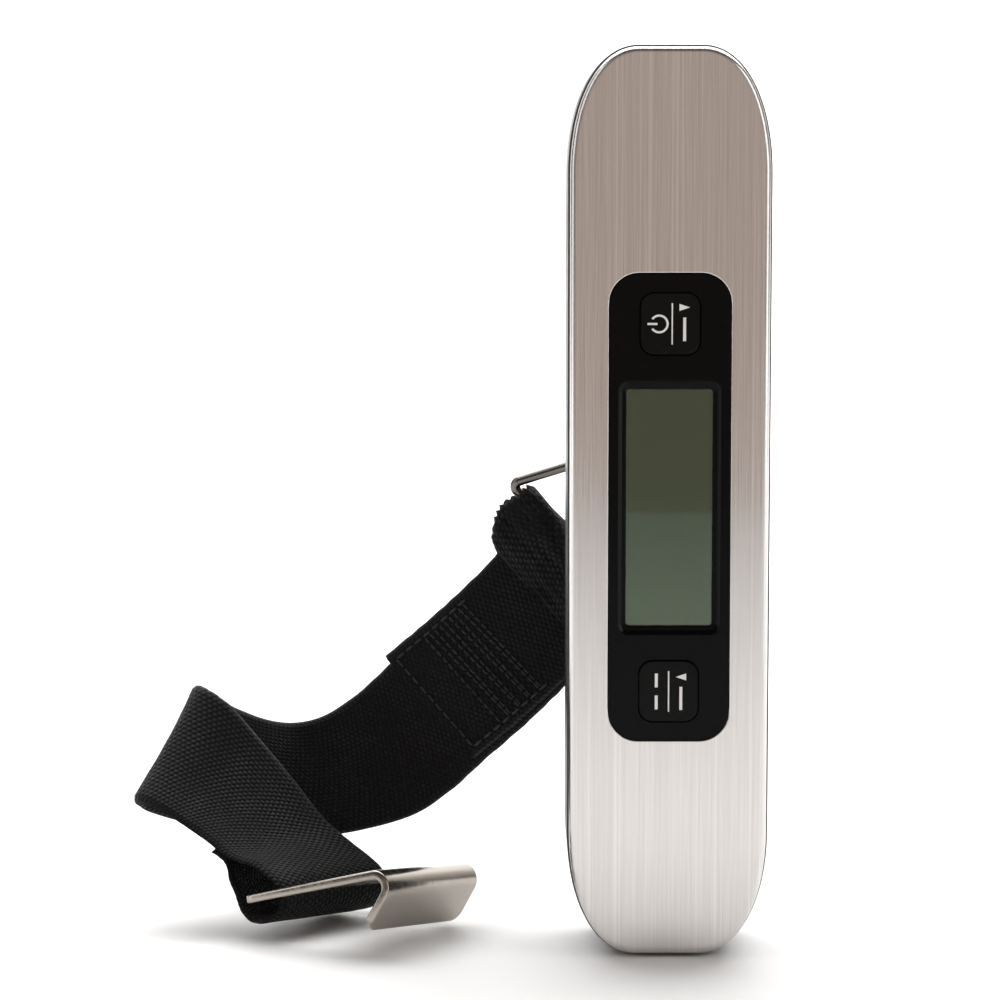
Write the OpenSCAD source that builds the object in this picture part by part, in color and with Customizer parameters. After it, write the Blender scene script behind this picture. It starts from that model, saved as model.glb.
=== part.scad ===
// Digital luggage scale: a bar-shaped weighing handle with a load eye at its back,
// a wire ring, a webbing strap and a sheet-metal hook.
// It stands on its lower end: X is across the face, the display looks along -Y, Z is up.

/* [Body] */
// Length of the handle
body_l = 156; // [140:1:175]
// Width of the handle
body_w = 34.6; // [32:0.2:38]
// Depth of the handle, from the steel face to the back
body_d = 26; // [25:0.5:30]
// Width of the flat at each end
end_flat = 10.4; // [8:0.2:14]
// Length of each rounded end
end_len = 22; // [18:1:26]
// Roundness of each end: 2 is an ellipse, more is squarer
end_power = 2.15; // [2:0.05:3]
// Wall of the plastic shells
wall = 2; // [1.6:0.1:2.4]
// Radius along the long back edges
back_r = 5; // [3:0.5:7]

/* [Face] */
// Thickness of the steel face
steel_t = 0.7; // [0.5:0.1:1]
// Width of black rim left showing round the steel
rim_w = 0.35; // [0.2:0.05:0.6]
// Width of the display panel
panel_w = 20.8; // [19:0.2:22]
// Height of the display panel
panel_h = 80; // [76:1:84]
// Corner radius of the display panel
panel_r = 5.2; // [3:0.1:6]
// Height of the display panel's centre above the base
panel_z = 77.7; // [74:0.1:82]
// Width of the visible display
lcd_w = 14.7; // [12:0.1:15.4]
// Height of the visible display
lcd_h = 40.5; // [34:0.5:42]
// Width of each button
button_w = 9.9; // [8:0.1:11]
// Height of each button
button_h = 10.3; // [8:0.1:11]
// Distance of each button from the panel's centre
button_off = 31.4; // [30.5:0.1:32.5]
// How far a button can be pressed
button_travel = 0.4; // [0.2:0.1:0.4]

/* [Load eye and ring] */
// Height of the load eye above the base
eye_z = 82; // [80:0.5:84]
// Distance of the eye's hole from the middle of the handle
eye_y = 17.5; // [17.2:0.1:20]
// Angle that the eye is swivelled to at rest
swivel_rest = 47; // [40:1:50]
// Angle that the ring hangs at, from straight back
ring_drop = 70; // [60:1:75]
// Diameter of the ring's wire
wire_d = 1.8; // [1.6:0.1:2]
// Length of the ring, from the eye to the strap bar
ring_l = 23.8; // [22:0.2:26]
// Width of the ring at the eye
ring_top = 11; // [10:0.5:14]
// Width of the ring at the strap
ring_base = 31; // [29:0.5:34]

/* [Strap and hook] */
// Thickness of the webbing
web_t = 1.3; // [1:0.1:1.5]
// Width of the webbing
web_w = 25; // [24:0.5:25]
// Width of the hook
hook_w = 31; // [30:0.5:33]
// Length of the hook's flat leg
hook_l = 27; // [26:0.5:30]
// Thickness of the hook's sheet
hook_t = 1.5; // [1.2:0.1:1.6]
// Length of the hook's lip
lip_l = 7; // [5:0.5:7]
// Angle that the hook is bent through
hook_bend = 133; // [120:1:140]

/* [Hidden] */
$fn = 48;

// Planes from front to back
face_y = -body_d / 2;
back_y = body_d / 2;
steel_back = face_y + 2.25;
seam_y = face_y + 9;
panel_seat = face_y + 1.8;
cavity_front = face_y + 2.6;
board_front = face_y + 6.1;
board_t = 1.6;
board_back = board_front + board_t;
cavity_back = back_y - 1.8;
bar_front = 0;
bar_back = 6;
frame_front = bar_back + 0.8;
frame_back = frame_front + 2;

// Places shared by several pieces
power_z = panel_z + button_off;
unit_z = panel_z - button_off;
screw_x = 10.2;
screw_zs = [33.5, 131];
board_screw_x = 10.3;
board_screw_zs = [41.5, 123];
frame_screw_x = 8.8;
frame_screw_zs = [66, 116];
cell_screw_zs = [43, 51];
gauge_zs = [60, 68];
bar_z = [38, 92];
frame_z = [37.5, 127];
cell_z = 22;
cell_r = 10;

// Colours
black = [0.03, 0.03, 0.035];
steel = [0.72, 0.70, 0.68];
bright = [0.80, 0.79, 0.77];

// Two-dimensional helpers
module rounded(w, h, r) {
    square([w - 2 * r, h], center = true);
    square([w, h - 2 * r], center = true);
    for (sx = [-1, 1], sy = [-1, 1])
        translate([sx * (w / 2 - r), sy * (h / 2 - r)]) circle(r);
}

function end_point(a, inset) = [
    end_flat / 2 + (body_w / 2 - inset - end_flat / 2) * pow(sin(a), 2 / end_power),
    inset + (end_len - inset) * (1 - pow(cos(a), 2 / end_power))
];

// Outline of the handle seen from the front, drawn in by an inset
module outline(inset) {
    corner = [for (a = [0:6:90]) end_point(a, inset)];
    n = len(corner);
    polygon(concat(
        [for (i = [0:n - 1]) corner[i]],
        [for (i = [n - 1:-1:0]) [corner[i][0], body_l - corner[i][1]]],
        [for (i = [0:n - 1]) [-corner[i][0], body_l - corner[i][1]]],
        [for (i = [n - 1:-1:0]) [-corner[i][0], corner[i][1]]]
    ));
}

// Section with one radius at its front corners and another at its back corners
module section(w, front, back, front_r, rear_r) {
    translate([-w / 2, front + front_r]) square([w, back - front - front_r - rear_r]);
    translate([front_r - w / 2, front]) square([w - 2 * front_r, back - front - rear_r]);
    translate([rear_r - w / 2, front + front_r]) square([w - 2 * rear_r, back - front - front_r]);
    for (s = [-1, 1]) {
        translate([s * (w / 2 - front_r), front + front_r]) circle(front_r);
        translate([s * (w / 2 - rear_r), back - rear_r]) circle(rear_r);
    }
}

// Three-dimensional helpers
// A drawing in X and Z given depth from one Y to another
module slab(front, back) {
    translate([0, back, 0]) rotate([90, 0, 0]) linear_extrude(back - front) children();
}

// A round bar along Y at a place on the face
module along_y(x, z, r, front, back) {
    translate([x, front, z]) rotate([-90, 0, 0]) cylinder(h = back - front, r = r);
}

// The handle's outer form between two depths
module handle_block(inset, front, back, front_r, rear_r) {
    intersection() {
        slab(front, back) outline(inset);
        linear_extrude(body_l) section(body_w - 2 * inset, front, back, front_r, rear_r);
        translate([body_w / 2, 0, body_l / 2]) rotate([0, -90, 0])
            linear_extrude(body_w) section(body_l - 2 * inset, front, back, front_r, rear_r);
    }
}

// A straight wire between two points
module rod(a, b, r) {
    d = b - a;
    translate(a) rotate([0, acos(d[2] / norm(d)), atan2(d[1], d[0])]) cylinder(h = norm(d), r = r);
}

module wire(points, r) {
    for (i = [0:len(points) - 2]) rod(points[i], points[i + 1], r);
    for (i = [1:len(points) - 2]) translate(points[i]) sphere(r * 1.3);
}

// Front of the handle
module steel_face() {
    color(steel) difference() {
        handle_block(rim_w, face_y, steel_back, 2, 0.05);
        handle_block(rim_w + steel_t, face_y + steel_t, steel_back + 1, 1.3, 0.05);
        slab(face_y - 1, steel_back + 1) translate([0, panel_z]) rounded(panel_w, panel_h, panel_r);
    }
}

module front_shell() {
    core = rim_w + steel_t + 0.05;
    color(black) difference() {
        union() {
            difference() {
                union() {
                    handle_block(0, steel_back + 0.02, seam_y, 0.3, 0.05);
                    handle_block(core, face_y + steel_t + 0.05, seam_y, 1.25, 0.05);
                }
                handle_block(wall, cavity_front, seam_y + 1, 0.3, 0.3);
            }
            for (s = [-1, 1], z = screw_zs) along_y(s * screw_x, z, 3, cavity_front - 0.5, seam_y);
            for (s = [-1, 1], z = board_screw_zs)
                along_y(s * board_screw_x, z, 2.3, cavity_front - 0.5, board_front);
        }
        slab(face_y - 1, panel_seat) translate([0, panel_z]) rounded(panel_w, panel_h, panel_r);
        slab(panel_seat - 1, cavity_front + 0.1) translate([0, panel_z])
            rounded(panel_w - 2.2, panel_h - 2.2, panel_r - 1);
        for (s = [-1, 1], z = screw_zs) along_y(s * screw_x, z, 1.15, cavity_front + 1, seam_y + 1);
        for (s = [-1, 1], z = board_screw_zs)
            along_y(s * board_screw_x, z, 1, cavity_front + 0.5, board_front + 1);
    }
}

module display_panel() {
    color(black) difference() {
        slab(face_y + 0.05, panel_seat) translate([0, panel_z])
            rounded(panel_w - 0.1, panel_h - 0.1, panel_r - 0.05);
        slab(face_y - 1, face_y + 0.65) translate([0, panel_z]) rounded(lcd_w + 2.7, lcd_h + 2.8, 1.6);
        slab(face_y - 1, panel_seat + 1) translate([0, panel_z]) rounded(lcd_w, lcd_h, 0.6);
        slab(face_y + 1.05, panel_seat + 1) translate([0, panel_z]) rounded(lcd_w + 1.6, lcd_h + 1.6, 0.8);
        for (z = [power_z, unit_z])
            slab(face_y - 1, panel_seat + 1) translate([0, z])
                rounded(button_w + 0.3, button_h + 0.3, 2.35);
    }
}

module lcd_window() {
    color([0.75, 0.8, 0.75, 0.4]) slab(face_y + 1.07, panel_seat - 0.03) translate([0, panel_z])
        rounded(lcd_w + 1.5, lcd_h + 1.5, 0.75);
}

module lcd_glass() {
    color([0.42, 0.45, 0.38]) slab(panel_seat + 0.05, board_front - 1.4) translate([0, panel_z])
        rounded(lcd_w + 1.3, lcd_h + 3.1, 0.3);
}

module lcd_holder() {
    color("white") difference() {
        slab(panel_seat + 0.05, board_front) translate([0, panel_z]) rounded(lcd_w + 3.5, lcd_h + 6.1, 1);
        slab(panel_seat - 1, board_front + 1) translate([0, panel_z])
            rounded(lcd_w + 1.4, lcd_h + 3.2, 0.35);
    }
}

module elastomer_strips() {
    color("dimgray") for (s = [-1, 1])
        slab(board_front - 1.4, board_front) translate([0, panel_z + s * (lcd_h / 2 + 0.2)])
            square([lcd_w - 0.4, 2.2], center = true);
}

// Electronics
module circuit_board() {
    mid = (frame_z[0] + frame_z[1]) / 2;
    color([0.05, 0.32, 0.16]) difference() {
        slab(board_front, board_back) translate([0, mid]) rounded(26, frame_z[1] - frame_z[0], 2);
        for (s = [-1, 1], z = board_screw_zs)
            along_y(s * board_screw_x, z, 1.1, board_front - 1, board_back + 1);
    }
}

module controller_chip() {
    color("black") intersection() {
        translate([0, board_back - 8.2, panel_z + 25]) sphere(9.5, $fn = 200);
        along_y(0, panel_z + 25, 5, board_back, board_back + 2, $fn = 100);
    }
}

module board_screws() {
    color("silver") for (s = [-1, 1], z = board_screw_zs) {
        along_y(s * board_screw_x, z, 1.9, board_back, board_back + 1.2);
        along_y(s * board_screw_x, z, 0.95, cavity_front + 1, board_back + 0.5);
    }
}

module tact_switches() {
    color("gray") for (z = [power_z, unit_z]) difference() {
        slab(board_front - 1.6, board_front) translate([0, z]) square(6, center = true);
        along_y(0, z, 1.4, board_front - 2, board_front - 0.5);
    }
}

module plunger(z) {
    color("ivory") along_y(0, z, 1.3, board_front - 2.3, board_front - 1.3);
}

module power_plunger() { plunger(power_z); }

module unit_plunger() { plunger(unit_z); }

module button(z) {
    color(black) {
        slab(face_y - 0.2, panel_seat + 0.1) translate([0, z]) rounded(button_w, button_h, 2.2);
        slab(panel_seat + 0.05, panel_seat + 0.7) translate([0, z]) rounded(12, 12.4, 2.6);
        along_y(0, z, 2, panel_seat + 0.5, board_front - 2.3);
    }
}

module power_button() { button(power_z); }

module unit_button() { button(unit_z); }

// Back of the handle
module rear_housing() {
    color(black) difference() {
        union() {
            difference() {
                handle_block(0, seam_y + 0.02, back_y, 0.3, back_r);
                handle_block(wall, seam_y - 1, cavity_back, 0.3, back_r - wall);
            }
            for (s = [-1, 1], z = screw_zs) along_y(s * screw_x, z, 3, seam_y + 0.02, cavity_back + 0.5);
            for (s = [-1, 1], z = frame_screw_zs)
                along_y(s * frame_screw_x, z, 2.5, frame_back, cavity_back + 0.5);
        }
        for (s = [-1, 1], z = screw_zs) {
            along_y(s * screw_x, z, 1.3, seam_y - 1, 1);
            along_y(s * screw_x, z, 2.5, 0.2, back_y + 1);
        }
        for (s = [-1, 1], z = frame_screw_zs)
            along_y(s * frame_screw_x, z, 1, frame_back - 1, back_y - 1);
        along_y(0, eye_z, 3.7, cavity_back - 1, back_y + 1);
        along_y(0, cell_z, cell_r + 0.4, cavity_back - 1, back_y + 1);
        along_y(0, cell_z, cell_r + 1.3, back_y - 1.1, back_y + 1);
        for (a = [0, 180])
            translate([0, 0, cell_z]) rotate([0, 45 + a, 0])
                translate([8, cavity_back - 1, -3]) cube([3.2, 2.5, 6]);
    }
}

module inner_frame() {
    mid = (frame_z[0] + frame_z[1]) / 2;
    color("lightsteelblue") difference() {
        union() {
            slab(frame_front, frame_back) translate([0, mid]) rounded(24, frame_z[1] - frame_z[0], 2);
            for (s = [-1, 1])
                translate([s * 11.25 - 0.75, 2, frame_z[0] + 4])
                    cube([1.5, frame_back - 2.5, frame_z[1] - frame_z[0] - 8]);
        }
        along_y(0, eye_z, 4.5, 0, back_y);
        for (z = cell_screw_zs) along_y(0, z, 1.6, 0, back_y);
        for (s = [-1, 1], z = frame_screw_zs) along_y(s * frame_screw_x, z, 1.1, 0, back_y);
    }
}

module frame_screws() {
    color("silver") for (s = [-1, 1], z = frame_screw_zs) {
        along_y(s * frame_screw_x, z, 1.7, frame_front - 1.2, frame_front);
        along_y(s * frame_screw_x, z, 0.95, frame_front - 0.5, back_y - 1.5);
    }
}

module load_cell() {
    mid_y = (bar_front + bar_back) / 2;
    color("gainsboro") difference() {
        translate([-6, bar_front, bar_z[0]]) cube([12, bar_back - bar_front, bar_z[1] - bar_z[0]]);
        for (z = gauge_zs) translate([-7, mid_y, z]) rotate([0, 90, 0]) cylinder(h = 14, r = 2.2);
        translate([-7, mid_y - 0.5, gauge_zs[0]]) cube([14, 1, gauge_zs[1] - gauge_zs[0]]);
        for (z = cell_screw_zs) along_y(0, z, 1.5, 0.6, bar_back + 1);
        along_y(0, eye_z, 2.6, bar_front - 1, bar_back + 1);
    }
}

module strain_gauges() {
    color("orange") for (z = gauge_zs) {
        translate([-2, bar_front - 0.15, z - 2.5]) cube([4, 0.15, 5]);
        translate([-2, bar_back, z - 2.5]) cube([4, 0.15, 5]);
    }
}

module gauge_wires() {
    color("red") for (x = [-4.5, -1.5, 1.5, 4.5])
        wire([[x, bar_front - 0.5, 64], [x, -2.4, 57], [x, board_back + 0.35, 55.5]], 0.35);
}

module cell_spacer() {
    color("silver") difference() {
        translate([-6, bar_back, bar_z[0]]) cube([12, frame_front - bar_back, 18]);
        for (z = cell_screw_zs) along_y(0, z, 1.6, 0, back_y);
    }
}

module cell_screws() {
    color("silver") for (z = cell_screw_zs) {
        along_y(0, z, 2.7, frame_back, frame_back + 1.8);
        along_y(0, z, 1.47, 1, frame_back + 0.5);
    }
}

// Load eye
module thrust_washer() {
    color("silver") difference() {
        along_y(0, eye_z, 5, bar_front - 0.8, bar_front);
        along_y(0, eye_z, 2.6, bar_front - 2, bar_front + 1);
    }
}

module stud_nut() {
    color("silver") difference() {
        translate([0, bar_front - 4, eye_z]) rotate([-90, 0, 0]) cylinder(h = 3.15, r = 4.6, $fn = 6);
        along_y(0, eye_z, 2.52, bar_front - 5, bar_front + 1);
    }
}

module stud_bush() {
    color(bright) difference() {
        union() {
            along_y(0, eye_z, 3.7, cavity_back, back_y + 0.4);
            along_y(0, eye_z, 5.5, back_y, back_y + 0.8);
        }
        along_y(0, eye_z, 2.56, cavity_back - 1, back_y + 2);
    }
}

module swivel_stud() {
    color(bright) difference() {
        union() {
            along_y(0, eye_z, 2.5, bar_front - 4.2, eye_y);
            translate([0, eye_y, eye_z]) rotate([0, 90 + swivel_rest, 0])
                cylinder(h = 4, r = 3.2, center = true);
        }
        translate([0, eye_y, eye_z]) rotate([0, 90 + swivel_rest, 0])
            cylinder(h = 12, r = wire_d / 2 + 0.3, center = true);
    }
}

// Battery
module battery_holder() {
    color("dimgray") difference() {
        along_y(0, cell_z, cell_r + 2, 4.6, cavity_back - 0.1);
        along_y(0, cell_z, cell_r + 0.3, 5.4, back_y);
        along_y(0, cell_z, cell_r + 1.3, 9.9, back_y);
        translate([cell_r - 0.5, 5.4, cell_z - 2.3]) cube([1.2, 5, 4.6]);
    }
}

module battery_spring() {
    color("gold") {
        translate([-7, 5.42, cell_z - 1.5]) cube([14, 0.3, 3]);
        along_y(0, cell_z, 1.8, 5.5, 5.98);
    }
}

module battery_clip() {
    color("gold") {
        translate([cell_r + 0.05, 5.42, cell_z - 2]) cube([0.3, 4.2, 4]);
    }
}

module coin_cell() {
    color("silver") {
        along_y(0, cell_z, cell_r - 1.3, 6, 6.8);
        along_y(0, cell_z, cell_r, 6.7, 9.2);
    }
}

module battery_leads() {
    color("red") for (s = [-1, 1])
        wire([[s * 3, 4.2, 31], [s * 3, -1.5, 34.8], [s * 3, board_back + 0.5, 40]], 0.5);
}

module battery_cover() {
    color(black) difference() {
        union() {
            along_y(0, cell_z, cell_r + 1.2, back_y - 1.05, back_y);
            along_y(0, cell_z, cell_r - 0.1, 9.5, back_y - 1);
            intersection() {
                along_y(0, cell_z, cell_r + 1, 10.1, 10.9);
                translate([-cell_r - 2, 10, cell_z - 2.5]) cube([2 * cell_r + 4, 1, 5]);
            }
        }
        translate([-6.5, back_y - 0.8, cell_z - 0.8]) cube([13, 2, 1.6]);
    }
}

module housing_screws() {
    color("silver") for (s = [-1, 1], z = screw_zs) difference() {
        union() {
            along_y(s * screw_x, z, 2.2, 0.2, 2);
            along_y(s * screw_x, z, 1.1, cavity_front + 2, 0.5);
        }
        for (a = [0, 90]) translate([s * screw_x, 1.4, z]) rotate([0, a, 0])
            translate([-1.3, 0, -0.25]) cube([2.6, 1, 0.5]);
    }
}

// Ring: a closed trapezoid of wire in its own plane, from the eye's hole at its origin
ring_corners = [
    [ring_top / 2, 0], [ring_base / 2, ring_l], [-ring_base / 2, ring_l], [-ring_top / 2, 0]
];
ring_bend = 1.2;

module to_ring() {
    translate([0, eye_y, eye_z]) rotate([0, swivel_rest, 0]) rotate([-ring_drop, 0, 0]) children();
}

function unit(v) = v / norm(v);
function turn_at(a, b, c) = acos(unit(b - a) * unit(c - b));
function trim_at(a, b, c) = ring_bend * tan(turn_at(a, b, c) / 2);

module ring() {
    n = len(ring_corners);
    color(bright) to_ring() for (i = [0:n - 1]) {
        a = ring_corners[(i + n - 1) % n];
        b = ring_corners[i];
        c = ring_corners[(i + 1) % n];
        d = ring_corners[(i + 2) % n];
        way = unit(c - b);
        start = b + way * trim_at(a, b, c);
        straight = norm(c - b) - trim_at(a, b, c) - trim_at(b, c, d);
        heading = atan2(way[1], way[0]);
        translate([start[0], start[1], 0]) rotate([0, 90, heading]) translate([0, 0, -0.2])
            cylinder(h = straight + 0.4, r = wire_d / 2);
        centre = start + ring_bend * [-way[1], way[0]];
        turn = turn_at(a, b, c);
        translate([centre[0], centre[1], 0]) rotate([0, 0, heading - 90 - turn])
            rotate_extrude(angle = turn) translate([ring_bend, 0]) circle(wire_d / 2 + 0.04);
    }
}

// Hook: its own frame has X along the leg towards the bend, Y along the bend, Z off the leg
hook_at = [-74.2, -0.9, 7.9];
hook_turn = [-8.3, -15.4, -27.4];
hook_r = 3;
window_w = 26.6;
window_l = 13;
window_x = 3.5;

function turn_x(p, a) = [p[0], p[1] * cos(a) - p[2] * sin(a), p[1] * sin(a) + p[2] * cos(a)];
function turn_y(p, a) = [p[0] * cos(a) + p[2] * sin(a), p[1], p[2] * cos(a) - p[0] * sin(a)];
function turn_z(p, a) = [p[0] * cos(a) - p[1] * sin(a), p[0] * sin(a) + p[1] * cos(a), p[2]];
function hook_point(p) = hook_at
    + turn_z(turn_y(turn_x(p, hook_turn[0]), hook_turn[1]), hook_turn[2]);

module hook() {
    lip_way = 270 - hook_bend;
    color(bright) translate(hook_at) rotate(hook_turn) {
        difference() {
            translate([0, 0, -hook_t]) linear_extrude(hook_t) {
                translate([hook_l / 2 + 1, hook_w / 2]) square([hook_l - 2, hook_w], center = true);
                translate([3, hook_w / 2]) rounded(6, hook_w, 2);
            }
            translate([window_x + window_l / 2, hook_w / 2, -hook_t - 1]) linear_extrude(hook_t + 2)
                rounded(window_l, window_w, 1.5);
        }
        translate([hook_l, hook_w, -hook_r]) rotate([90, 0, 0]) linear_extrude(hook_w) {
            intersection() {
                difference() {
                    circle(hook_r);
                    circle(hook_r - hook_t);
                }
                polygon([
                    [0, 0], [0, 9], [9, 9], [9, 0],
                    9 * [cos(90 - hook_bend), sin(90 - hook_bend)]
                ]);
            }
            rotate(-hook_bend) translate([-0.01, hook_r - hook_t]) square([lip_l, hook_t]);
        }
    }
}

// Strap: each station is a point on its upper edge and one on its lower edge, then its thickness
bar_mid = [0, eye_y, eye_z] + turn_y(turn_x([0, ring_l, 0], -ring_drop), swivel_rest);
bar_half = turn_y([web_w / 2, 0, 0], swivel_rest);
folded_t = 2 * web_t + 0.1;
hem_t = 3 * web_t;
run = [
    [bar_mid - bar_half, bar_mid + bar_half, hem_t],
    [[-28, 26.3, 72.8], [-10.2, 25.8, 55.2], hem_t],
    [[-29.2, 27.2, 67.8], [-11.5, 26.2, 50.2], hem_t],
    [[-28.6, 27.8, 65], [-11.6, 26.2, 47], folded_t],
    [[-34.6, 29.2, 58], [-17.3, 27, 40.3], folded_t],
    [[-41.5, 31.5, 51], [-24.5, 28.5, 33], folded_t],
    [[-48, 33.5, 45], [-31.5, 30.5, 26.5], folded_t],
    [[-49, 34, 44], [-32.5, 30.5, 25.5], web_t],
    [[-54.5, 36.5, 38.5], [-38.5, 31.5, 20], web_t],
    [[-61, 39.5, 33.5], [-45.5, 32, 15.5], web_t],
    [[-68, 41, 31.5], [-54, 32.5, 13], web_t],
    [[-74.5, 40, 33], [-64, 32.5, 11.5], web_t],
    [[-80, 37.5, 36], [-75.5, 31, 12.5], web_t],
    [[-83.5, 34, 39], [-86.5, 26.5, 15.5], web_t],
    [[-84.5, 29.5, 40.5], [-93, 20, 19], web_t],
    [[-82.5, 26, 40.5], [-94.5, 14, 22], web_t],
    [[-78, 25, 37.5], [-91.5, 10.5, 22], web_t],
    [[-72.5, 25.5, 31], [-86.5, 8.5, 19.5], web_t],
    [[-66, 25, 23], [-81.5, 7, 16.5], web_t],
    [[-60.5, 23, 16.5], [-77, 5, 13.5], web_t]
];

// The end of the strap goes down through the hook's window and up outside its end bar
loop = [
    [[9.2, 27.3, 5.4], [0.6, 3.5, 5.2]],
    [[12.6, 27.5, 1.6], [4.4, 3.6, 1.6]],
    [[13.2, 27.5, -1.6], [5.4, 3.6, -1.6]],
    [[11.4, 27.6, -4], [4.2, 3.4, -4.1]],
    [[7, 27.8, -4.5], [1.6, 3.1, -4.7]],
    [[2.2, 27.9, -4.1], [-1.2, 2.9, -4.1]],
    [[-1, 28, -2.4], [-2.6, 2.9, -2.2]],
    [[-2.3, 28, 0.4], [-3.2, 2.9, 0.4]],
    [[-3.2, 28, 3.4], [-4, 2.9, 3.4]]
];
stations = concat(run, [for (s = loop) [hook_point(s[0]), hook_point(s[1]), web_t]]);

// A smooth curve through every station
function curve(a, b, c, d, t) = 0.5 * (2 * b + (c - a) * t + (2 * a - 5 * b + 4 * c - d) * t * t
    + (3 * b - a - 3 * c + d) * t * t * t);
steps = 2;
last = len(stations) - 1;
function station(i) = stations[min(max(i, 0), last)];
function edge_at(k, side) = let (i = floor(k / steps), t = k / steps - i)
    curve(station(i - 1)[side], station(i)[side], station(i + 1)[side], station(i + 2)[side], t);
function thickness_at(k) = let (i = floor(k / steps), t = k / steps - i)
    station(i)[2] * (1 - t) + station(i + 1)[2] * t;

module strap() {
    rings = last * steps;
    top = [for (k = [0:rings]) edge_at(k, 0)];
    low = [for (k = [0:rings]) edge_at(k, 1)];
    off = [for (k = [0:rings])
        let (k0 = max(k - 1, 0), k1 = min(k + 1, rings))
        let (along = top[k1] + low[k1] - top[k0] - low[k0])
        unit(cross(along, low[k] - top[k])) * thickness_at(k) / 2];
    points = [for (k = [0:rings]) each [top[k] + off[k], low[k] + off[k], low[k] - off[k], top[k] - off[k]]];
    faces = concat(
        [[0, 2, 1], [0, 3, 2]],
        [for (k = [0:rings - 1], j = [0:3]) let (a = 4 * k + j, b = 4 * k + (j + 1) % 4)
            each [[a, b + 4, a + 4], [a, b, b + 4]]],
        [[4 * rings, 4 * rings + 1, 4 * rings + 2], [4 * rings, 4 * rings + 2, 4 * rings + 3]]
    );
    color([0.06, 0.06, 0.06]) difference() {
        union() {
            polyhedron(points = points, faces = faces);
            translate(bar_mid) rotate([0, 90 + swivel_rest, 0])
                cylinder(h = web_w + 1.2, r = wire_d / 2 + 0.35 + web_t, center = true);
        }
        translate(bar_mid) rotate([0, 90 + swivel_rest, 0])
            cylinder(h = web_w + 4, r = wire_d / 2 + 0.35, center = true);
    }
}

steel_face();
front_shell();
display_panel();
lcd_window();
lcd_glass();
lcd_holder();
elastomer_strips();
circuit_board();
controller_chip();
board_screws();
tact_switches();
power_button();
power_plunger();
unit_button();
unit_plunger();
rear_housing();
inner_frame();
frame_screws();
load_cell();
strain_gauges();
gauge_wires();
cell_spacer();
cell_screws();
thrust_washer();
swivel_stud();
stud_nut();
stud_bush();
battery_holder();
battery_spring();
battery_clip();
coin_cell();
battery_leads();
battery_cover();
housing_screws();
ring();
strap();
hook();
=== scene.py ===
import math

import bmesh
import bpy
import numpy as np
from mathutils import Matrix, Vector


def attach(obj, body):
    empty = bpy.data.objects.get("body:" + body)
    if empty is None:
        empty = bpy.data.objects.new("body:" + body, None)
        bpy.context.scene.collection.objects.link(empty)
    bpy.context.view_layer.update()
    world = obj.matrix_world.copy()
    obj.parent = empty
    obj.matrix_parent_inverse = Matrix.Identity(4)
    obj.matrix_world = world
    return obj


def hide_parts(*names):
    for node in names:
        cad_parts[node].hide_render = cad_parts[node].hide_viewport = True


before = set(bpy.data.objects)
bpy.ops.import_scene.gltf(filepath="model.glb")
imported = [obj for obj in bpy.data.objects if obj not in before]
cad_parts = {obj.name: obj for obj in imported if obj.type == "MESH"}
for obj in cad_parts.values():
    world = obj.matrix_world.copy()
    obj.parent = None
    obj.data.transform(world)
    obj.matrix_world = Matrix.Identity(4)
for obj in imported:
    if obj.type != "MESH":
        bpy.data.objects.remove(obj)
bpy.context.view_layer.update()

MM = 0.001
scene = bpy.context.scene


# ---------------------------------------------------------------- materials
class Nodes:
    """A new node material and short calls that add nodes to it."""

    def __init__(self, name, base, rough, metal=0.0, **sockets):
        self.mat = bpy.data.materials.new(name)
        self.mat.use_nodes = True
        self.tree = self.mat.node_tree
        self.shader = self.tree.nodes["Principled BSDF"]
        self.set("Base Color", (*base, 1))
        self.set("Roughness", rough)
        self.set("Metallic", metal)
        for key, value in sockets.items():
            self.set(key.replace("_", " "), value)

    def set(self, socket, value):
        self.shader.inputs[socket].default_value = value

    def add(self, kind, **settings):
        node = self.tree.nodes.new(kind)
        for key, value in settings.items():
            if hasattr(node, key):
                setattr(node, key, value)
            else:
                node.inputs[key.replace("_", " ")].default_value = value
        return node

    def link(self, a, b):
        self.tree.links.new(a, b)

    def coords(self, scale=(1, 1, 1), source="Object"):
        coord = self.add("ShaderNodeTexCoord")
        mapping = self.add("ShaderNodeMapping")
        mapping.inputs["Scale"].default_value = scale
        self.link(coord.outputs[source], mapping.inputs["Vector"])
        return mapping.outputs["Vector"]

    def noise(self, vector, scale, detail=3, rough=0.5):
        node = self.add("ShaderNodeTexNoise", Scale=scale, Detail=detail, Roughness=rough)
        self.link(vector, node.inputs["Vector"])
        return node.outputs["Fac"]

    def ramp(self, value, low, high, out_low, out_high):
        node = self.add("ShaderNodeMapRange")
        for key, v in zip(("From Min", "From Max", "To Min", "To Max"), (low, high, out_low, out_high)):
            node.inputs[key].default_value = v
        self.link(value, node.inputs["Value"])
        return node.outputs["Result"]

    def math(self, operation, a, b=None):
        node = self.add("ShaderNodeMath", operation=operation)
        for i, v in enumerate((a, b)):
            if v is None:
                continue
            if isinstance(v, (int, float)):
                node.inputs[i].default_value = v
            else:
                self.link(v, node.inputs[i])
        return node.outputs["Value"]

    def mix(self, factor, a, b):
        node = self.add("ShaderNodeMix", data_type="RGBA")
        for i, v in ((6, a), (7, b)):
            node.inputs[i].default_value = (*v, 1)
        self.link(factor, node.inputs[0])
        return node.outputs[2]

    def bump(self, height, distance, strength=1.0):
        node = self.add("ShaderNodeBump", Strength=strength, Distance=distance)
        self.link(height, node.inputs["Height"])
        self.link(node.outputs["Normal"], self.shader.inputs["Normal"])


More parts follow.
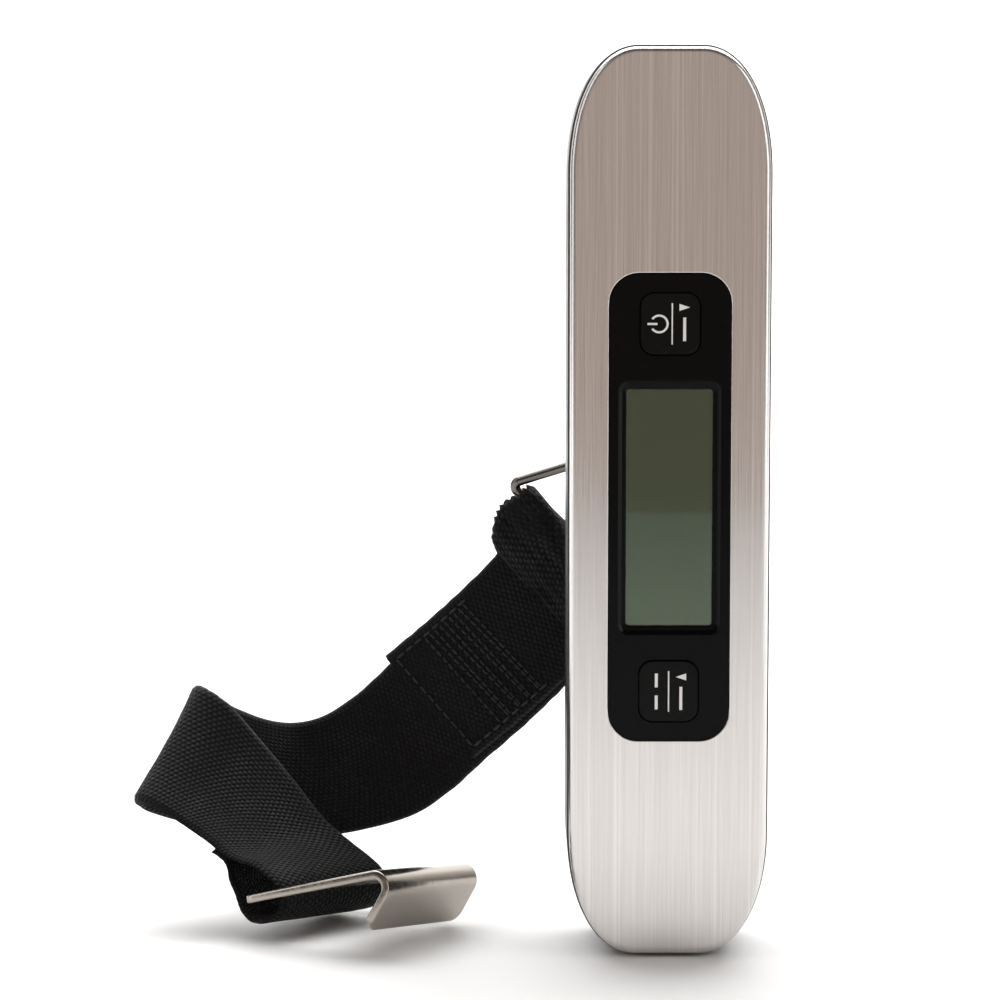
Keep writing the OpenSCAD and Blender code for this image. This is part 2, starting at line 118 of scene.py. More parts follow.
def brushed_face():
    """Steel brushed along the handle: long fine streaks that spread reflections sideways."""
    m = Nodes("brushed_face", (0.62, 0.6, 0.575), 0.21, 1.0, Anisotropic=0.9)
    fine = m.noise(m.coords((9000, 400, 55)), 1, 2)
    broad = m.noise(m.coords((1500, 100, 9)), 1, 3)
    lone = m.ramp(m.noise(m.coords((1300, 60, 2.2)), 1, 1), 0.63, 0.7, 0, 0.3)
    streak = m.math("ADD", m.math("MULTIPLY", fine, 0.7), m.math("MULTIPLY", broad, 0.3))
    streak = m.math("ADD", streak, lone)
    m.link(m.mix(m.ramp(streak, 0.3, 0.7, 0, 1), (0.6, 0.578, 0.562), (0.76, 0.738, 0.722)),
           m.shader.inputs["Base Color"])
    m.link(m.ramp(streak, 0.3, 0.7, 0.17, 0.25), m.shader.inputs["Roughness"])
    m.bump(streak, 0.00003, 0.35)
    return m.mat


def moulded(name, base, rough, grain=0.00002, scale=2500):
    """Injection-moulded plastic: a fine grain, and slightly uneven gloss."""
    m = Nodes(name, base, rough)
    m.bump(m.noise(m.coords(), scale, 3), grain, 0.5)
    m.link(m.ramp(m.noise(m.coords(), 60, 3), 0.3, 0.7, rough * 0.85, rough * 1.2),
           m.shader.inputs["Roughness"])
    return m.mat


def polished(name, base, rough=0.06):
    """Gloss plastic with faint handling marks."""
    m = Nodes(name, base, rough, Specular_IOR_Level=0.09)
    m.link(m.ramp(m.noise(m.coords(), 90, 4), 0.35, 0.75, rough, rough * 2.2),
           m.shader.inputs["Roughness"])
    m.bump(m.noise(m.coords(), 140, 2), 0.00002, 0.15)
    return m.mat


def metal(name, base, rough, scale=900, vary=0.35):
    """Plain or plated metal with slightly uneven polish."""
    m = Nodes(name, base, rough, 1.0)
    n = m.noise(m.coords(), scale, 4)
    m.link(m.ramp(n, 0.3, 0.7, rough * (1 - vary), rough * (1 + vary)), m.shader.inputs["Roughness"])
    m.link(m.mix(m.noise(m.coords(), 45, 3), tuple(0.9 * c for c in base), base),
           m.shader.inputs["Base Color"])
    m.bump(n, 0.00001, 0.4)
    return m.mat


def board():
    """Green solder mask with fine tracks under it."""
    m = Nodes("solder_mask", (0.02, 0.13, 0.06), 0.25)
    brick = m.add("ShaderNodeTexBrick", Scale=260.0, Mortar_Size=0.06)
    turn = m.add("ShaderNodeMapping")
    turn.inputs["Rotation"].default_value = (math.radians(90), 0, 0)
    m.link(m.coords(), turn.inputs["Vector"])
    m.link(turn.outputs["Vector"], brick.inputs["Vector"])
    m.link(m.mix(brick.outputs["Fac"], (0.02, 0.13, 0.06), (0.05, 0.24, 0.11)),
           m.shader.inputs["Base Color"])
    return m.mat


def window():
    """Clear window: it lets the display show and mirrors the room faintly."""
    m = Nodes("window_clear", (0.9, 1.0, 0.86), 0.012, Transmission_Weight=1.0, IOR=1.49)
    m.link(m.ramp(m.noise(m.coords(), 60, 2), 0.4, 0.8, 0.01, 0.03), m.shader.inputs["Roughness"])
    return m.mat


def display():
    """Unlit grey-green reflective display, a little uneven."""
    m = Nodes("display_grey", (0.005, 0.012, 0.005), 0.08, Specular_IOR_Level=0.95,
              Specular_Tint=(0.76, 1.0, 0.68, 1.0))
    m.link(m.mix(m.noise(m.coords((1, 1, 0.4)), 60, 2), (0.002, 0.006, 0.002), (0.004, 0.009, 0.003)),
           m.shader.inputs["Base Color"])
    return m.mat


def webbing(pitch=0.95, lift=0.0, creases=0.0):
    """Woven nylon: ribs across the strap, each a row of yarn crowns that step sideways by half."""
    m = Nodes("webbing_black", (0.006, 0.006, 0.0065), 0.7, Specular_IOR_Level=0.2, Sheen_Weight=0.03,
              Sheen_Roughness=0.4)
    uv = m.add("ShaderNodeTexCoord")
    parts = m.add("ShaderNodeSeparateXYZ")
    m.link(uv.outputs["UV"], parts.inputs["Vector"])
    across = m.math("MULTIPLY", parts.outputs["X"], 30.0)
    along = m.math("MULTIPLY", parts.outputs["Y"], 1.0 / pitch)
    step = m.math("MULTIPLY", m.math("MODULO", m.math("FLOOR", across), 2.0), 0.5)
    crown_u = m.math("ABSOLUTE", m.math("SINE", m.math("MULTIPLY", across, math.pi)))
    crown_v = m.math("ABSOLUTE", m.math("SINE", m.math("MULTIPLY", m.math("ADD", along, step), math.pi)))
    crown = m.math("MULTIPLY", m.math("POWER", crown_u, 0.7), m.math("POWER", crown_v, 1.4))
    fibre = m.noise(m.coords(), 5200, 2)
    height = m.math("ADD", crown, m.math("MULTIPLY", fibre, 0.2))
    if creases:
        folds = m.noise(m.coords((2.2, 0.55, 1), "UV"), 1, 4, 0.6)
        height = m.math("ADD", height, m.math("MULTIPLY", folds, creases))
    m.bump(height, 0.00028, 0.8)
    uneven = m.noise(m.coords(), 150, 4)
    # Painted light: the yarn crowns are coloured lighter as painted highlights and the hollows between them
    # near black as painted shade; uneven varies this tone at random, and lift raises the painted highlights
    painted_crown_light = m.math("MULTIPLY", crown, m.ramp(uneven, 0.4, 0.7, 0.12, 1.0))
    m.link(m.mix(painted_crown_light, (0.0005, 0.0005, 0.0006), (0.016 + lift, 0.016 + lift, 0.0165 + lift)),
           m.shader.inputs["Base Color"])
    m.link(m.ramp(uneven, 0.3, 0.7, 0.6, 0.8), m.shader.inputs["Roughness"])
    return m.mat


def thread():
    m = Nodes("thread_black", (0.012, 0.012, 0.0125), 0.45, Sheen_Weight=0.05)
    m.bump(m.noise(m.coords(), 4000, 2), 0.00005, 0.5)
    return m.mat


SHELL = moulded("shell_black", (0.012, 0.012, 0.013), 0.38, 0.00003, 1800)
PANEL = polished("panel_black", (0.0022, 0.0023, 0.0025), 0.07)
BUTTON = polished("button_black", (0.005, 0.005, 0.005), 0.12)
STEEL = brushed_face()
WHITE = moulded("white_plastic", (0.72, 0.72, 0.7), 0.45)
BRIGHT = metal("bright_nickel", (0.52, 0.485, 0.44), 0.17, 700, 0.35)
# Painted shade: the ring's metal is far darker than the nickel above, standing in for the shade it lies in
# and the dark parts it mirrors
WIRE = metal("ring_wire_painted_shade", (0.17, 0.16, 0.15), 0.2, 900, 0.3)
# Painted reflection: the hook's nickel is darker than the stud's, standing in for dark surroundings mirrored
# in its downward face
PLATE = metal("hook_nickel_painted_reflection", (0.38, 0.345, 0.305), 0.17, 700, 0.35)
SCREW = metal("screw_steel", (0.62, 0.61, 0.59), 0.3)
DARK = metal("screw_dark", (0.07, 0.07, 0.072), 0.35)
BRASS = metal("contact_brass", (0.8, 0.6, 0.3), 0.22)
RED = moulded("lead_red", (0.45, 0.015, 0.015), 0.4)
CHIP = moulded("chip_black", (0.01, 0.01, 0.01), 0.25)
RUBBER = moulded("soft_rubber", (0.12, 0.12, 0.125), 0.65)
NODE_LOOKS = {
    "front_shell": SHELL, "rear_housing": SHELL, "battery_cover": SHELL,
    "display_panel": PANEL, "lcd_window": window(), "lcd_glass": display(),
    "power_button": BUTTON, "unit_button": BUTTON,
    "lcd_holder": WHITE, "power_plunger": WHITE, "unit_plunger": WHITE, "battery_holder": WHITE,
    "stud_bush": WHITE, "thrust_washer": WHITE,
    "elastomer_strips": RUBBER, "circuit_board": board(), "controller_chip": CHIP,
    "board_screws": SCREW, "frame_screws": SCREW, "cell_screws": SCREW, "stud_nut": SCREW,
    "tact_switches": metal("switch_metal", (0.66, 0.66, 0.65), 0.3),
    "inner_frame": metal("frame_steel", (0.5, 0.5, 0.51), 0.35),
    "cell_spacer": metal("spacer_steel", (0.5, 0.5, 0.5), 0.35),
    "load_cell": metal("cell_aluminium", (0.76, 0.76, 0.77), 0.3),
    "strain_gauges": metal("gauge_foil", (0.75, 0.5, 0.25), 0.3),
    "gauge_wires": RED, "battery_leads": RED,
    "battery_spring": BRASS, "battery_clip": BRASS,
    "coin_cell": metal("battery_steel", (0.72, 0.71, 0.69), 0.22),
    "housing_screws": DARK, "swivel_stud": BRIGHT, "ring": WIRE, "hook": PLATE,
}
# How far each node's sharp edges are rounded, in millimetres
EDGE = {"power_button": 0.22, "unit_button": 0.22,
        "battery_cover": 0.2, "swivel_stud": 0.15, "stud_bush": 0.15}


def soften(ob, width, angle=35):
    """Welds the imported facets and rounds the sharp edges, with shading that keeps flats flat."""
    weld = ob.modifiers.new("weld", "WELD")
    weld.merge_threshold = 1e-6
    if width:
        bevel = ob.modifiers.new("bevel", "BEVEL")
        bevel.width = width * MM
        bevel.segments = 3
        bevel.limit_method = "ANGLE"
        bevel.angle_limit = math.radians(angle)
        bevel.use_clamp_overlap = True
        bevel.harden_normals = False
    weighted = ob.modifiers.new("normals", "WEIGHTED_NORMAL")
    weighted.weight = 90
    weighted.keep_sharp = False


for name, look in NODE_LOOKS.items():
    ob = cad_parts[name]
    ob.data.materials.clear()
    ob.data.materials.append(look)


# ---------------------------------------------------------------- mesh helpers
def new_piece(name, verts, faces, material, body, smooth=True, uvs=None):
    """A mesh piece from lists in metres; uvs is one pair for each vertex."""
    mesh = bpy.data.meshes.new(name)
    mesh.from_pydata([tuple(float(c) for c in v) for v in verts], [], faces)
    if uvs is not None:
        layer = mesh.uv_layers.new(name="along")
        for loop in mesh.loops:
            layer.data[loop.index].uv = uvs[loop.vertex_index]
    bm = bmesh.new()
    bm.from_mesh(mesh)
    bmesh.ops.recalc_face_normals(bm, faces=bm.faces)
    bm.to_mesh(mesh)
    bm.free()
    for poly in mesh.polygons:
        poly.use_smooth = smooth
    mesh.materials.append(material)
    ob = bpy.data.objects.new(name, mesh)
    scene.collection.objects.link(ob)
    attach(ob, body)
    return ob


def mesh_piece(name, bm, material, body, replaced):
    """A piece from a finished bmesh, in the place of a CAD node."""
    mesh = bpy.data.meshes.new(name)
    bm.to_mesh(mesh)
    bm.free()
    mesh.materials.append(material)
    ob = bpy.data.objects.new(name, mesh)
    scene.collection.objects.link(ob)
    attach(ob, body)
    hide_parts(replaced)
    return ob


def join_rings(bm, rings):
    """Smooth quads between successive closed rings of points; returns the rings' vertices."""
    made = [[bm.verts.new(p) for p in ring] for ring in rings]
    size = len(made[0])
    for a, b in zip(made, made[1:]):
        for j in range(size):
            bm.faces.new((a[j], a[(j + 1) % size], b[(j + 1) % size], b[j])).smooth = True
    return made


def ring_edges(bm, ring):
    return [bm.edges.get(pair) for pair in zip(ring, ring[1:] + ring[:1])]


def fill_flat(bm, edges):
    """Flat faces over the region that these edges bound, holes and all."""
    for item in bmesh.ops.triangle_fill(bm, edges=edges, use_beauty=True)["geom"]:
        if isinstance(item, bmesh.types.BMFace):
            item.smooth = False


def loops_to_faces(count, size, first=0):
    """Quads between successive closed loops of the same size."""
    out = []
    for k in range(count - 1):
        for j in range(size):
            a, b = first + k * size + j, first + k * size + (j + 1) % size
            out.append((a, b, b + size, a + size))
    return out


# ---------------------------------------------------------------- steel face
BODY_L, BODY_W, END_FLAT, END_LEN, END_POWER = 156.0, 34.6, 10.4, 22.0, 2.15
FACE_Y, STEEL_BACK, RIM, PANEL_Z = -13.0, -10.75, 0.35, 77.7
PANEL_W, PANEL_H, PANEL_R, STEEL_EDGE_R = 20.8, 80, 5.2, 1.25


def outline(inset, per_corner=64):
    """The handle's outline from the front, drawn in by an inset, from lower right round to lower left."""
    corner = []
    for i in range(per_corner + 1):
        a = math.radians(90 * i / per_corner)
        x = END_FLAT / 2 + (BODY_W / 2 - inset - END_FLAT / 2) * math.sin(a) ** (2 / END_POWER)
        z = inset + (END_LEN - inset) * (1 - math.cos(a) ** (2 / END_POWER))
        corner.append((x, z))
    sides = 40
    right = [(corner[-1][0], END_LEN + (BODY_L - 2 * END_LEN) * i / sides) for i in range(1, sides)]
    half = corner + right + [(x, BODY_L - z) for x, z in reversed(corner)]
    return half + [(-x, z) for x, z in reversed(half)]


def panel_hole(w, h, r, ring):
    """Points of a rounded rectangle, each in the way that a ring's point lies from the panel's centre."""
    out = []
    for x, z in ring:
        dx, dz = x, z - PANEL_Z
        reach = min((w / 2) / max(abs(dx), 1e-9), (h / 2) / max(abs(dz), 1e-9))
        px, pz = dx * reach, dz * reach
        cx, cz = math.copysign(w / 2 - r, px), math.copysign(h / 2 - r, pz)
        if abs(px) > w / 2 - r and abs(pz) > h / 2 - r:
            n = math.hypot(dx, dz)
            ux, uz = dx / n, dz / n
            b = ux * cx + uz * cz
            c = cx * cx + cz * cz - r * r
            s = b + math.sqrt(max(b * b - c, 0))
            px, pz = ux * s, uz * s
        out.append((px, PANEL_Z + pz))
    return out


def steel_face():
    """Pressed steel: a rolled outer edge, a flat face and a lip that turns in round the panel."""
    flat_from = RIM + STEEL_EDGE_R
    profile = [(RIM, STEEL_BACK)]
    for i in range(17):
        a = math.radians(90 * i / 16)
        profile.append((RIM + STEEL_EDGE_R * (1 - math.cos(a)), FACE_Y + STEEL_EDGE_R * (1 - math.sin(a))))
    profile += [(flat_from + 0.15, FACE_Y), (flat_from + 1.2, FACE_Y)]
    verts = []
    for inset, y in profile:
        verts += [(x * MM, y * MM, z * MM) for x, z in outline(inset)]
    ring = outline(flat_from + 1.2)
    lip = 0.16
    turned_in = [(2.2, FACE_Y), (lip, FACE_Y), (lip * 0.3, FACE_Y + lip * 0.3), (0, FACE_Y + lip),
                 (0, FACE_Y + 0.7)]
    for grow, y in turned_in:
        hole = panel_hole(PANEL_W + 2 * grow, PANEL_H + 2 * grow, PANEL_R + grow, ring)
        verts += [(x * MM, y * MM, z * MM) for x, z in hole]
    faces = loops_to_faces(len(profile) + len(turned_in), len(ring))
    ob = new_piece("brushed_face_sheet", verts, faces, STEEL, "handle")
    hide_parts("steel_face")
    for poly in ob.data.polygons:
        ys = [ob.data.vertices[v].co.y for v in poly.vertices]
        poly.use_smooth = max(ys) - min(ys) > 1e-7


steel_face()


# ---------------------------------------------------------------- plastic shells
def ring_at(inset, y):
    return [(x * MM, y * MM, z * MM) for x, z in outline(inset, 40)]


# Where the first of the battery cover's two lugs goes in and half the width of each, in degrees
LUG_AT, LUG_HALF = 45, 13


def circle_at(x, z, r, y, n, notch=0.0):
    """A circle on the back; notch deepens it over two short arcs, where the cover's lugs go in."""
    out = []
    for i in range(n):
        a = math.radians(360 * i / n)
        from_lug = (math.degrees(a) - LUG_AT) % 180
        in_notch = min(from_lug, 180 - from_lug) < LUG_HALF
        reach = r + (notch if in_notch else 0)
        out.append(((x + reach * math.cos(a)) * MM, y * MM, (z + reach * math.sin(a)) * MM))
    return out


def lofted(name, profiles, rims, caps, replaced):
    """A shell from rings joined in order; rims and caps list (profile, ring) pairs that bound a flat face."""
    bm = bmesh.new()
    made = [join_rings(bm, profile) for profile in profiles]
    for group in (rims, caps):
        if group:
            fill_flat(bm, [e for n, k in group for e in ring_edges(bm, made[n][k])])
    bmesh.ops.recalc_face_normals(bm, faces=bm.faces)
    mesh_piece(name, bm, SHELL, "handle", replaced)


def shells():
    """Two moulded halves: short extra rings keep the folds sharp, and a groove shows where they meet."""
    seam, back, round_r, wall = -4.0, 13.0, 4.4, 2.0
    outer = [ring_at(wall, seam + 0.02), ring_at(0.22, seam + 0.02), ring_at(0.16, seam + 0.03),
             ring_at(0.02, seam + 0.16), ring_at(0, seam + 0.24), ring_at(0, seam + 0.6)]
    outer += [ring_at(0, back - round_r - 0.4)]
    for i in range(17):
        a = math.radians(90 * i / 16)
        outer.append(ring_at(round_r * (1 - math.cos(a)), back - round_r * (1 - math.sin(a))))
    inner = [ring_at(wall, seam + 0.02), ring_at(wall, back - 4), ring_at(wall + 2.4, back - wall)]
    profiles = [outer, inner]
    rims = [(0, len(outer) - 1)]
    caps = [(1, len(inner) - 1)]
    # The rings of a hole: how much wider than the hole, and how far under the back
    screw_edge = ((0.12, 0), (0.04, 0.04), (0, 0.14), (0, 0.4))
    screw_r, screw_end = 2.5, 0.6
    for x in (-10.2, 10.2):
        for z in (33.5, 131.0):
            rims.append((len(profiles), 0))
            rings = [circle_at(x, z, screw_r + grow, back - under, 32) for grow, under in screw_edge]
            profiles.append(rings + [circle_at(x, z, screw_r, screw_end, 32)])
    hole_edge = ((0.14, 0), (0.04, 0.05), (0, 0.16), (0, 0.5), (0, wall))
    for z, r, notch in ((22, 11.32, 0.7), (82, 3.75, 0)):
        rims.append((len(profiles), 0))
        caps.append((len(profiles), len(hole_edge) - 1))
        profiles.append([circle_at(0, z, r + grow, back - under, 96, notch) for grow, under in hole_edge])
    lofted("rear_shell", profiles, rims, caps, "rear_housing")
    front = [ring_at(1.15, -12.2), ring_at(1.1, -10.8), ring_at(1.05, STEEL_BACK + 0.03),
             ring_at(0.34, STEEL_BACK + 0.02), ring_at(0.24, STEEL_BACK + 0.03),
             ring_at(0.06, STEEL_BACK + 0.14), ring_at(0, STEEL_BACK + 0.32), ring_at(0, STEEL_BACK + 0.7),
             ring_at(0, seam - 0.6), ring_at(0, seam - 0.24), ring_at(0.02, seam - 0.16),
             ring_at(0.16, seam - 0.03), ring_at(0.22, seam), ring_at(wall, seam), ring_at(wall, -10.6),
             ring_at(2.6, -12.2)]
    lofted("front_rim_shell", [front], (), (), "front_shell")


shells()


# ---------------------------------------------------------------- display panel
# How far each button is from the panel's centre
KEY_OFFSET = 31.4


def rounded_ring(cz, w, h, r, y, corner=10):
    """A closed ring of points round a rounded rectangle on the face."""
    out = []
    for k, (sx, sz) in enumerate(((1, 1), (-1, 1), (-1, -1), (1, -1))):
        for i in range(corner + 1):
            a = math.radians(90 * (k + i / corner))
            out.append((sx * (w / 2 - r) + r * math.cos(a), y, cz + sz * (h / 2 - r) + r * math.sin(a)))
    return [tuple(c * MM for c in p) for p in out]


def display_panel():
    """The panel's front, with rounded rims, sloping walls round the display and wells for the buttons."""
    front, seat = FACE_Y + 0.05, FACE_Y + 1.8
    lcd_w, lcd_h = 14.7, 40.5
    # Every ring is: height from the panel's centre, width, height, corner radius and depth
    rim = [(0, 20.7, 79.9, 5.15, seat), (0, 20.7, 79.9, 5.15, front + 0.25),
           (0, 20.62, 79.82, 5.11, front + 0.12), (0, 20.45, 79.65, 5.03, front + 0.03),
           (0, 20.2, 79.4, 4.9, front)]
    opening = [(0, lcd_w + 2.9, lcd_h + 3.0, 1.8, front), (0, lcd_w + 2.7, lcd_h + 2.8, 1.7, front + 0.03),
               (0, lcd_w + 2.5, lcd_h + 2.6, 1.6, front + 0.12),
               (0, lcd_w + 1.5, lcd_h + 1.6, 1.2, front + 0.58),
               (0, lcd_w + 1.3, lcd_h + 1.4, 1.1, front + 0.62),
               (0, lcd_w + 0.25, lcd_h + 0.25, 0.7, front + 0.62),
               (0, lcd_w, lcd_h, 0.6, front + 0.7), (0, lcd_w, lcd_h, 0.6, front + 1.0)]
    profiles = [rim, opening]
    for z in (KEY_OFFSET, -KEY_OFFSET):
        profiles.append([(z, 10.5, 10.9, 2.5, front), (z, 10.34, 10.74, 2.42, front + 0.04),
                         (z, 10.2, 10.6, 2.35, front + 0.16), (z, 10.2, 10.6, 2.35, seat)])
    bm = bmesh.new()
    bounds = []
    for profile in profiles:
        rings = join_rings(bm, [rounded_ring(PANEL_Z + z, w, h, r, y) for z, w, h, r, y in profile])
        bounds += ring_edges(bm, rings[-1] if profile is rim else rings[0])
    fill_flat(bm, bounds)
    bmesh.ops.recalc_face_normals(bm, faces=bm.faces)
    mesh_piece("display_bezel", bm, PANEL, "handle", "display_panel")


display_panel()


# ---------------------------------------------------------------- button marks
MARK = Nodes("print_white", (0.82, 0.82, 0.8), 0.5).mat
MARK_Y = -13.215


def mark(name, body, centre_z, shapes):
    """Printed marks on a button, drawn in millimetres from its centre; each shape is a list of corners."""
    verts, faces = [], []
    for shape in shapes:
        first = len(verts)
        verts += [(x * MM, MARK_Y * MM, (centre_z + z) * MM) for x, z in shape]
        n = len(shape)
        verts += [(x * MM, (MARK_Y + 0.02) * MM, (centre_z + z) * MM) for x, z in shape]
        faces.append(tuple(range(first, first + n)))
        faces += [(first + j, first + (j + 1) % n, first + n + (j + 1) % n, first + n + j) for j in range(n)]
    new_piece(name, verts, faces, MARK, body, smooth=False)


def bar(x, z, w, h):
    return [(x - w / 2, z - h / 2), (x + w / 2, z - h / 2), (x + w / 2, z + h / 2), (x - w / 2, z + h / 2)]


def arc(x, z, r, t, start, sweep, n=20):
    turn = [math.radians(start + sweep * i / n) for i in range(n + 1)]
    outer = [(x + r * math.cos(a), z + r * math.sin(a)) for a in turn]
    inner = [(x + (r - t) * math.cos(a), z + (r - t) * math.sin(a)) for a in reversed(turn)]
    quads = []
    for i in range(n):
        quads.append([outer[i], outer[i + 1], inner[n - 1 - i], inner[n - i]])
    return quads


POWER_Z, UNIT_Z = PANEL_Z + KEY_OFFSET, PANEL_Z - KEY_OFFSET
mark("power_mark", "power_key", POWER_Z,
     arc(-1.9, 0, 1.6, 0.36, 215, 290) + [bar(-3.05, 0, 1.7, 0.36), bar(0.3, 0, 0.22, 7)]
     + [bar(2.4, -0.9, 0.5, 4.0), [(1.5, 3.4), (1.5, 2.2), (3.3, 2.8)]])
mark("unit_mark", "unit_key", UNIT_Z,
     [bar(-2.1, -1.9, 0.5, 2.4), bar(-2.1, 1.9, 0.5, 2.4), bar(0, 0, 0.22, 7), bar(2.1, -1.2, 0.5, 4.0),
      [(3.0, 1.9), (3.0, 3.1), (1.2, 2.5)]])


# ---------------------------------------------------------------- strap
WEB_T, WEB_W, WIRE_R = 1.3, 25.0, 0.9


def spin(p, axis, degrees):
    a = math.radians(degrees)
    c, s = math.cos(a), math.sin(a)
    x, y, z = p
    return {"x": (x, y * c - z * s, y * s + z * c), "y": (x * c + z * s, y, z * c - x * s),
            "z": (x * c - y * s, x * s + y * c, z)}[axis]


def hook_point(p):
    q = spin(spin(spin(p, "x", -8.3), "y", -15.4), "z", -27.4)
    return np.array((-74.2, -0.9, 7.9)) + np.array(q)


# ---------------------------------------------------------------- hook
HOOK_W, HOOK_L, HOOK_T, HOOK_R, HOOK_BEND, HOOK_LIP = 31.0, 27.0, 1.5, 3.0, 133.0, 7.0
HOOK_CORNER_R, HOOK_EDGE_R = 2, 0.34
WINDOW_FROM, WINDOW_LEN, WINDOW_W, WINDOW_R = 3.5, 13.0, 26.6, 1.5
BEND_MID_R = HOOK_R - HOOK_T / 2


def bent(s, w, n):
    """A point of the hook's plate: s along it from the strap's end, w across it, n above its outer face."""
    a = min(max((s - HOOK_L) / BEND_MID_R, 0), math.radians(HOOK_BEND))
    past = s - HOOK_L - a * BEND_MID_R if s > HOOK_L else s - HOOK_L
    x = HOOK_L + (HOOK_R + n) * math.sin(a) + past * math.cos(a)
    z = -HOOK_R + (HOOK_R + n) * math.cos(a) - past * math.sin(a)
    return tuple(hook_point((x, w, z)) * MM)


def open_skin(bm, rows, closed=False, flat=()):
    """Quads between successive rows of points, save those without area; flat lists unsmoothed strips."""
    made = [[bm.verts.new(p) for p in row] for row in rows]
    for i in range(len(made) if closed else len(made) - 1):
        a, b = made[i], made[(i + 1) % len(made)]
        for j in range(len(a) - 1):
            if len({v.co.to_tuple(9) for v in (a[j], a[j + 1], b[j + 1], b[j])}) > 2:
                bm.faces.new((a[j], a[j + 1], b[j + 1], b[j])).smooth = j not in flat
    return made


def rounded_path(r, corners):
    """Points round the corners, each with its outward way; a corner is a centre and its first angle."""
    out = []
    for s, w, start in corners:
        for degrees in range(start, start + 91, 10):
            a = math.radians(degrees)
            out.append((s + r * math.cos(a), w + r * math.sin(a), math.cos(a), math.sin(a)))
    return out


def hook_plate():
    """Stamped plate with rolled edges: a flat with a window, then one sheet through the bend to the lip."""
    # The section at an edge: how far in from the edge, and where through the thickness
    r = HOOK_EDGE_R
    section = [(r + 0.12, 0)]
    for degrees in range(0, 91, 15):
        a = math.radians(degrees)
        section.append((r - r * math.sin(a), -r + r * math.cos(a)))
    section += [(x, -HOOK_T - n) for x, n in reversed(section)]
    bm = bmesh.new()
    c = HOOK_CORNER_R
    tail = [(HOOK_L, HOOK_W, 0, 1)] + rounded_path(c, ((c, HOOK_W - c, 90), (c, c, 180)))
    tail.append((HOOK_L, 0, 0, -1))
    rim = open_skin(bm, [[bent(s - us * e, w - uw * e, n) for e, n in section] for s, w, us, uw in tail])
    c = WINDOW_R
    s0, s1 = WINDOW_FROM, WINDOW_FROM + WINDOW_LEN
    w0 = (HOOK_W - WINDOW_W) / 2
    w1 = w0 + WINDOW_W
    corners = ((s1 - c, w1 - c, 0), (s0 + c, w1 - c, 90), (s0 + c, w0 + c, 180), (s1 - c, w0 + c, 270))
    window = [[bent(s + us * e, w + uw * e, n) for e, n in section]
              for s, w, us, uw in rounded_path(c, corners)]
    hole = open_skin(bm, window, closed=True)
    for k in (0, -1):
        loop = [bm.edges.get((a[k], b[k])) for a, b in zip(rim, rim[1:])]
        loop += [bm.edges.get((a[k], b[k])) for a, b in zip(hole, hole[1:] + hole[:1])]
        loop.append(bm.edges.new((rim[0][k], rim[-1][k])))
        fill_flat(bm, loop)
    # Every station of the bend and lip: distance along, how much narrower each side, and how squashed
    turn = math.radians(HOOK_BEND) * BEND_MID_R
    straight_end = HOOK_L + turn + HOOK_LIP - HOOK_CORNER_R - r
    stations = [(HOOK_L + turn * i / 28, 0, 0) for i in range(29)] + [(straight_end, 0, 0)]
    for degrees in range(10, 91, 10):
        a = math.radians(degrees)
        along, narrower = HOOK_CORNER_R * math.sin(a), HOOK_CORNER_R - HOOK_CORNER_R * math.cos(a)
        stations.append((straight_end + along, narrower, 0))
    last_s, last_w = stations[-1][0], stations[-1][1]
    for degrees in range(15, 91, 15):
        a = math.radians(degrees)
        stations.append((last_s + r * math.sin(a), last_w, 1 - math.cos(a)))
    middle = HOOK_T / 2
    rows = []
    for s, narrower, squash in stations:
        ring = [(narrower + e, n) for e, n in section]
        ring += [(HOOK_W - narrower - e, n) for e, n in reversed(section)]
        kept = 1 - squash * r / middle
        rows.append([bent(s, w, -middle + (n + middle) * kept) for w, n in ring + ring[:1]])
    made = open_skin(bm, rows, flat=(len(section) - 1, 2 * len(section) - 1))
    bm.faces.new(made[-1][:-1])
    bmesh.ops.remove_doubles(bm, verts=bm.verts, dist=2e-7)
    bmesh.ops.recalc_face_normals(bm, faces=bm.faces)
    # The wide quads of the bend and lip are smooth as well; the narrow ones at the lip's end stay flat
    for face in bm.faces:
        if len(face.verts) == 4 and face.calc_area() > 2e-6:
            face.smooth = True
    return mesh_piece("hook_sheet", bm, PLATE, "hook_plate", "hook")


hook_sheet = hook_plate()


# The middle of the ring's bar: the ring swings by 70 degrees and the swivel turns by 47
swing = spin(spin((0, 23.8, 0), "x", -70), "y", 47)
bar_mid = np.array((0, 17.5, 82)) + np.array(swing)
bar_half = np.array(spin((WEB_W / 2, 0, 0), "y", 47))
# Upper and lower edge of the strap at its stations, from under the bar on; LOOP is in the hook's frame
RUN = [
    ((-28, 26.3, 72.8), (-10.2, 25.8, 55.2)), ((-29.2, 27.2, 67.8), (-11.5, 26.2, 50.2)),
    ((-28.6, 27.8, 65), (-11.6, 26.2, 47)), ((-34.6, 29.2, 58), (-17.3, 27, 40.3)),
    ((-41.5, 31.5, 51), (-24.5, 28.5, 33)), ((-48, 33.5, 45), (-31.5, 30.5, 26.5)),
    ((-54.5, 36.5, 38.5), (-38.5, 31.5, 20)), ((-61, 39.5, 33.5), (-45.5, 32, 15.5)),
    ((-68, 41, 31.5), (-54, 32.5, 13)), ((-74.5, 40, 33), (-64, 32.5, 11.5)),
    ((-80, 37.5, 36), (-75.5, 31, 12.5)), ((-83.5, 34, 39), (-86.5, 26.5, 15.5)),
    ((-84.5, 29.5, 40.5), (-93, 20, 19)), ((-82.5, 26, 40.5), (-94.5, 14, 22)),
    ((-78, 25, 37.5), (-91.5, 10.5, 22)), ((-72.5, 25.5, 31), (-86.5, 8.5, 19.5)),
    ((-66, 25, 23), (-81.5, 7, 16.5)), ((-60.5, 23, 16.5), (-77, 5, 13.5)),
]
